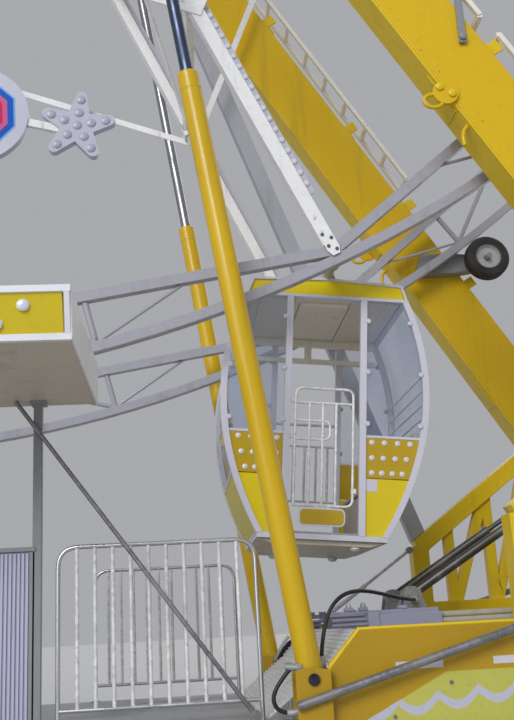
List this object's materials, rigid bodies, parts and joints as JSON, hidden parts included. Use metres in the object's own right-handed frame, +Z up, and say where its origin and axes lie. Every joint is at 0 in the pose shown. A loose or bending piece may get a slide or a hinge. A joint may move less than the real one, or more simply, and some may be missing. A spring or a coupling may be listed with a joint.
{
  "type": "trailer mounted ferris wheel",
  "caption": "Open ferris wheel on a trailer with leaning box masts, closed level-hanging cabins, drive tyres and a fenced loading deck.",
  "frame": {"origin": "on the ground, straight under the middle of the hub", "axes": "+Z up, +Y along the wheel's axle away from the boarding side, +X along the trailer towards the foot of the masts"},
  "size_m": [22.0188, 7.1, 23.9331],
  "materials": {
    "yellow_paint": "gloss enamel, scuffed at the edges",
    "cabin_yellow": "gloss gel coat",
    "white_paint": "satin enamel",
    "grey_paint": "satin enamel",
    "galvanised_steel": "galvanised, spangled",
    "rod_steel": "hard chrome",
    "tyre_rubber": "moulded rubber",
    "hose_rubber": "smooth rubber over braid",
    "orange_panel": "gloss enamel",
    "window_sheet": "clear polycarbonate, lightly scuffed",
    "beige_lining": "moulded lining, matt",
    "stud_white": "translucent lamp caps",
    "light_box_blue": "acrylic",
    "light_box_red": "acrylic",
    "wheel_silver": "silver paint",
    "counter_panel": "ribbed sheet, enamelled"
  },
  "bodies": {
    "trailer": {"entrance_canopy": "white_paint", "mast_front": "yellow_paint", "mast_back": "yellow_paint", "lift_cylinder_front": "yellow_paint", "lift_cylinder_back": "yellow_paint", "base_frame_front": "yellow_paint", "base_frame_back": "yellow_paint", "side_panel_front": "yellow_paint", "side_panel_back": "yellow_paint", "chassis": "yellow_paint", "side_tube_front": "galvanised_steel", "side_tube_back": "galvanised_steel", "loading_deck": "galvanised_steel", "boarding_steps": "galvanised_steel", "fence_front_right": "galvanised_steel", "fence_front_left": "galvanised_steel", "fence_back_right": "galvanised_steel", "fence_back_left": "galvanised_steel", "hub_shaft": "rod_steel", "lift_rod_front": "rod_steel", "lift_rod_back": "rod_steel", "back_strut": "grey_paint", "drive_bracket_front": "grey_paint", "drive_bracket_back": "grey_paint", "machinery_deck": "grey_paint", "ramp_hose": "hose_rubber", "foot_hose": "hose_rubber", "bogie": "tyre_rubber"},
    "wheel": {"rim_front": "white_paint", "rim_back": "white_paint", "ties_front": "white_paint", "ties_back": "white_paint", "spoke_frame_01": "white_paint", "spoke_frame_02": "white_paint", "spoke_frame_03": "white_paint", "spoke_frame_04": "white_paint", "spoke_frame_05": "white_paint", "spoke_frame_06": "white_paint", "spoke_frame_07": "white_paint", "spoke_frame_08": "white_paint", "spoke_frame_09": "white_paint", "spoke_frame_10": "white_paint", "spoke_frame_11": "white_paint", "spoke_frame_12": "white_paint", "hub": "yellow_paint"},
    "cabin_01": {"cabin_01": "cabin_yellow"},
    "cabin_02": {"cabin_02": "cabin_yellow"},
    "cabin_03": {"cabin_03": "cabin_yellow"},
    "cabin_04": {"cabin_04": "cabin_yellow"},
    "cabin_05": {"cabin_05": "cabin_yellow"},
    "cabin_06": {"cabin_06": "cabin_yellow"},
    "cabin_07": {"cabin_07": "cabin_yellow"},
    "cabin_08": {"cabin_08": "cabin_yellow"},
    "cabin_09": {"cabin_09": "cabin_yellow"},
    "cabin_10": {"cabin_10": "cabin_yellow"},
    "cabin_11": {"cabin_11": "cabin_yellow"},
    "cabin_12": {"cabin_12": "cabin_yellow"},
    "gate_01": {"gate_01": "galvanised_steel"},
    "drive_tyre_front": {"drive_tyre_front": "tyre_rubber"},
    "drive_tyre_back": {"drive_tyre_back": "tyre_rubber"}
  },
  "joints": [
    {"name": "wheel_spin", "type": "hinge", "parent": "trailer", "child": "wheel", "pos_m": [0, 0, 13.6], "axis": [0, 1, 0], "continuous": true},
    {"name": "cabin_01_swing", "type": "hinge", "parent": "wheel", "child": "cabin_01", "pos_m": [4.2752, 0, 4.26215], "axis": [0, 1, 0], "continuous": true},
    {"name": "cabin_02_swing", "type": "hinge", "parent": "wheel", "child": "cabin_02", "pos_m": [8.37136, 0, 7.65078], "axis": [0, 1, 0], "continuous": true},
    {"name": "cabin_03_swing", "type": "hinge", "parent": "wheel", "child": "cabin_03", "pos_m": [10.22442, 0, 12.63351], "axis": [0, 1, 0], "continuous": true},
    {"name": "cabin_04_swing", "type": "hinge", "parent": "wheel", "child": "cabin_04", "pos_m": [9.33785, 0, 17.8752], "axis": [0, 1, 0], "continuous": true},
    {"name": "cabin_05_swing", "type": "hinge", "parent": "wheel", "child": "cabin_05", "pos_m": [5.94922, 0, 21.97136], "axis": [0, 1, 0], "continuous": true},
    {"name": "cabin_06_swing", "type": "hinge", "parent": "wheel", "child": "cabin_06", "pos_m": [0.96649, 0, 23.82442], "axis": [0, 1, 0], "continuous": true},
    {"name": "cabin_07_swing", "type": "hinge", "parent": "wheel", "child": "cabin_07", "pos_m": [-4.2752, 0, 22.93785], "axis": [0, 1, 0], "continuous": true},
    {"name": "cabin_08_swing", "type": "hinge", "parent": "wheel", "child": "cabin_08", "pos_m": [-8.37136, 0, 19.54922], "axis": [0, 1, 0], "continuous": true},
    {"name": "cabin_09_swing", "type": "hinge", "parent": "wheel", "child": "cabin_09", "pos_m": [-10.22442, 0, 14.56649], "axis": [0, 1, 0], "continuous": true},
    {"name": "cabin_10_swing", "type": "hinge", "parent": "wheel", "child": "cabin_10", "pos_m": [-9.33785, 0, 9.3248], "axis": [0, 1, 0], "continuous": true},
    {"name": "cabin_11_swing", "type": "hinge", "parent": "wheel", "child": "cabin_11", "pos_m": [-5.94922, 0, 5.22864], "axis": [0, 1, 0], "continuous": true},
    {"name": "cabin_12_swing", "type": "hinge", "parent": "wheel", "child": "cabin_12", "pos_m": [-0.96649, 0, 3.37558], "axis": [0, 1, 0], "continuous": true},
    {"name": "gate_01_swing", "type": "hinge", "parent": "cabin_01", "child": "gate_01", "pos_m": [3.92865, -0.6275, 3.18957], "axis": [0.0924, 0, 0.9957], "range_deg": [0, 95]},
    {"name": "drive_tyre_front_spin", "type": "hinge", "parent": "trailer", "child": "drive_tyre_front", "pos_m": [6.14722, -1.02, 5.01366], "axis": [0, 1, 0], "continuous": true},
    {"name": "drive_tyre_back_spin", "type": "hinge", "parent": "trailer", "child": "drive_tyre_back", "pos_m": [6.14722, 1.02, 5.01366], "axis": [0, 1, 0], "continuous": true}
  ],
  "couplings": [
    {"joint": "cabin_01_swing", "follows": "wheel_spin", "ratio": -1},
    {"joint": "cabin_02_swing", "follows": "wheel_spin", "ratio": -1},
    {"joint": "cabin_03_swing", "follows": "wheel_spin", "ratio": -1},
    {"joint": "cabin_04_swing", "follows": "wheel_spin", "ratio": -1},
    {"joint": "cabin_05_swing", "follows": "wheel_spin", "ratio": -1},
    {"joint": "cabin_06_swing", "follows": "wheel_spin", "ratio": -1},
    {"joint": "cabin_07_swing", "follows": "wheel_spin", "ratio": -1},
    {"joint": "cabin_08_swing", "follows": "wheel_spin", "ratio": -1},
    {"joint": "cabin_09_swing", "follows": "wheel_spin", "ratio": -1},
    {"joint": "cabin_10_swing", "follows": "wheel_spin", "ratio": -1},
    {"joint": "cabin_11_swing", "follows": "wheel_spin", "ratio": -1},
    {"joint": "cabin_12_swing", "follows": "wheel_spin", "ratio": -1},
    {"joint": "drive_tyre_front_spin", "follows": "wheel_spin", "ratio": -48.093},
    {"joint": "drive_tyre_back_spin", "follows": "wheel_spin", "ratio": -48.093}
  ]
}
